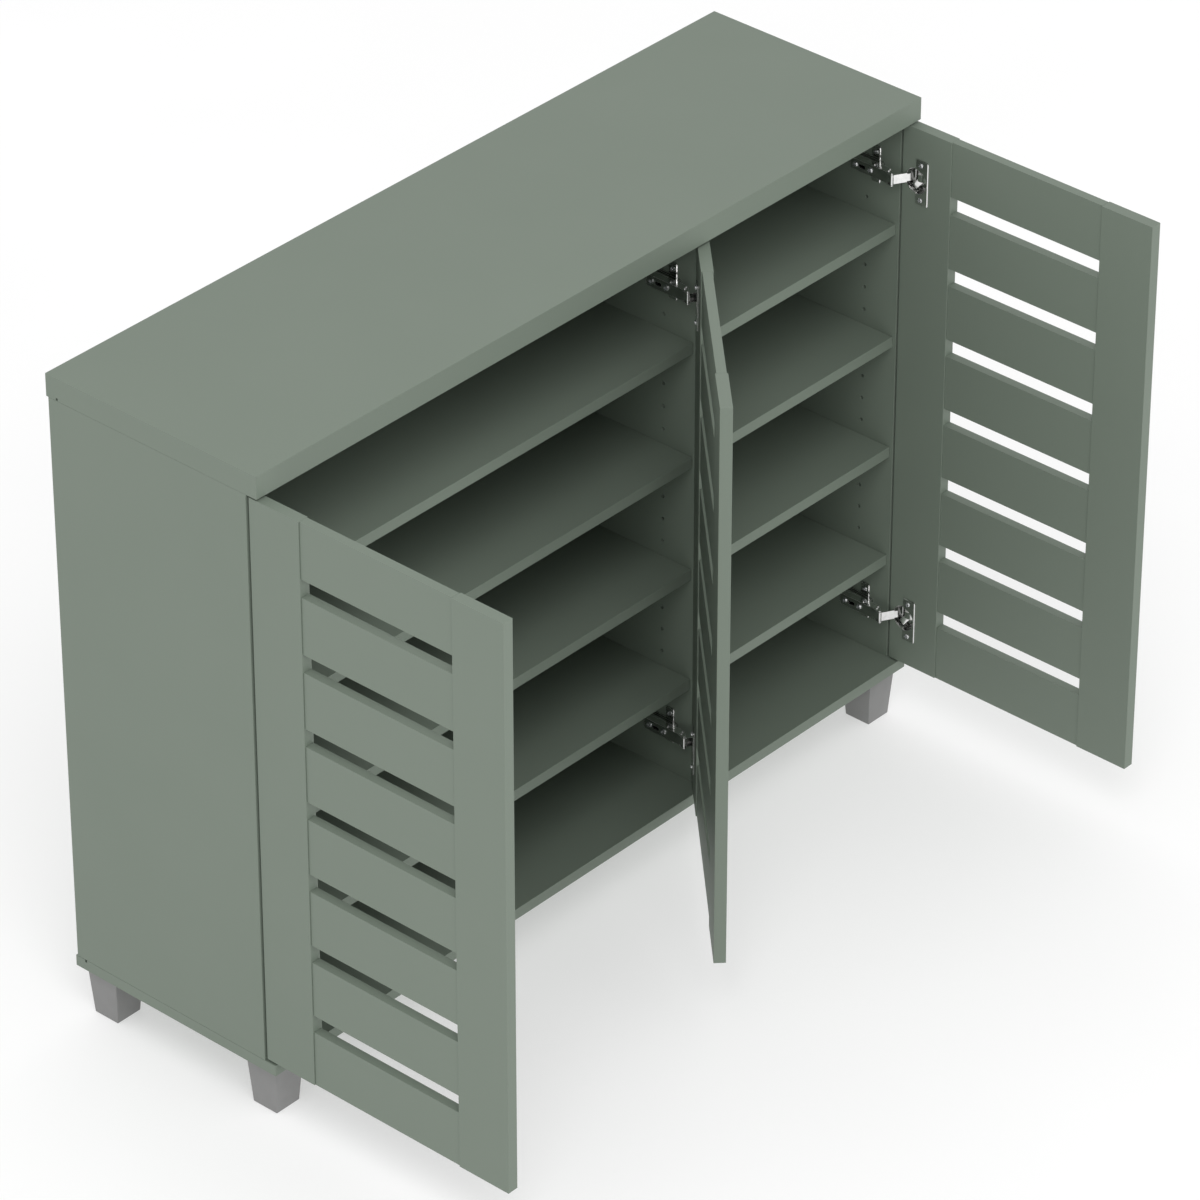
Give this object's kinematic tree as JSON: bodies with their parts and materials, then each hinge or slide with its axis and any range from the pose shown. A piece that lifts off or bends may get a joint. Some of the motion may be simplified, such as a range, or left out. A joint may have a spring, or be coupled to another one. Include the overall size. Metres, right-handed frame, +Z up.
{
  "type": "louvred door cabinet",
  "caption": "Low wide cupboard on tapered feet with slotted hinged doors on cup hinges, a wide and a narrow shelf bay, and a thick worktop.",
  "frame": {"origin": "on the floor, midway across the cabinet, and midway between its rear edge and the free edges of the open outer doors", "axes": "+X to the right seen from the front, +Y towards the rear, +Z up"},
  "size_m": [1.15, 0.696, 0.895],
  "materials": {
    "painted_board": "smooth matt sage green foil or paint",
    "back_sheet": "matt sage green",
    "foot_plastic": "plain grey, fine grain",
    "hinge_metal": "bright nickel plate",
    "screw_metal": "zinc plate",
    "beech_dowel": "bare beech"
  },
  "bodies": {
    "carcass": {"worktop": "painted_board", "base_panel": "painted_board", "left_side": "painted_board", "right_side": "painted_board", "partition": "painted_board", "back_panel": "back_sheet", "shelf_pins": "screw_metal", "foot_screws": "screw_metal", "base_screws": "screw_metal", "cam_fasteners": "screw_metal", "cam_bolts": "screw_metal", "carcass_dowels": "beech_dowel", "back_screws": "screw_metal", "plate_screws": "screw_metal", "arm_screws": "screw_metal", "wide_bay_shelf_1": "painted_board", "wide_bay_shelf_2": "painted_board", "wide_bay_shelf_3": "painted_board", "wide_bay_shelf_4": "painted_board", "narrow_bay_shelf_1": "painted_board", "narrow_bay_shelf_2": "painted_board", "narrow_bay_shelf_3": "painted_board", "narrow_bay_shelf_4": "painted_board", "foot_front_left": "foot_plastic", "foot_front_right": "foot_plastic", "foot_rear_left": "foot_plastic", "foot_rear_right": "foot_plastic", "left_mounting_plates": "hinge_metal", "left_hinge_arms": "hinge_metal", "centre_mounting_plates": "hinge_metal", "centre_hinge_arms": "hinge_metal", "right_mounting_plates": "hinge_metal", "right_hinge_arms": "hinge_metal"},
    "left_door": {"left_hinge_stile": "painted_board", "left_free_stile": "painted_board", "left_top_rail": "painted_board", "left_bottom_rail": "painted_board", "left_slats": "painted_board", "left_door_dowels": "beech_dowel", "left_hinge_cups": "hinge_metal", "left_cup_screws": "screw_metal"},
    "left_links": {"left_hinge_links": "hinge_metal"},
    "centre_door": {"centre_hinge_stile": "painted_board", "centre_free_stile": "painted_board", "centre_top_rail": "painted_board", "centre_bottom_rail": "painted_board", "centre_slats": "painted_board", "centre_door_dowels": "beech_dowel", "centre_hinge_cups": "hinge_metal", "centre_cup_screws": "screw_metal"},
    "centre_links": {"centre_hinge_links": "hinge_metal"},
    "right_door": {"right_hinge_stile": "painted_board", "right_free_stile": "painted_board", "right_top_rail": "painted_board", "right_bottom_rail": "painted_board", "right_slats": "painted_board", "right_door_dowels": "beech_dowel", "right_hinge_cups": "hinge_metal", "right_cup_screws": "screw_metal"},
    "right_links": {"right_hinge_links": "hinge_metal"}
  },
  "joints": [
    {"name": "left_door_swing", "type": "hinge", "parent": "carcass", "child": "left_door", "pos_m": [-0.5665, 0.025, 0.475], "axis": [0, 0, -1], "range_deg": [-90, 5]},
    {"name": "left_link_turn", "type": "hinge", "parent": "carcass", "child": "left_links", "pos_m": [-0.5405, 0.033, 0.475], "axis": [0, 0, -1], "range_deg": [-1, 17.5]},
    {"name": "centre_door_swing", "type": "hinge", "parent": "carcass", "child": "centre_door", "pos_m": [0.183, 0.025, 0.475], "axis": [0, 0, 1], "range_deg": [-45, 50]},
    {"name": "centre_link_turn", "type": "hinge", "parent": "carcass", "child": "centre_links", "pos_m": [0.16475, 0.033, 0.475], "axis": [0, 0, 1], "range_deg": [-14, 12.5]},
    {"name": "right_door_swing", "type": "hinge", "parent": "carcass", "child": "right_door", "pos_m": [0.5665, 0.025, 0.475], "axis": [0, 0, 1], "range_deg": [-90, 5]},
    {"name": "right_link_turn", "type": "hinge", "parent": "carcass", "child": "right_links", "pos_m": [0.5405, 0.033, 0.475], "axis": [0, 0, 1], "range_deg": [-1, 17.5]}
  ],
  "couplings": [
    {"joint": "left_link_turn", "follows": "left_door_swing", "ratio": -0.18889},
    {"joint": "centre_link_turn", "follows": "centre_door_swing", "ratio": -0.26667},
    {"joint": "right_link_turn", "follows": "right_door_swing", "ratio": -0.18889}
  ]
}
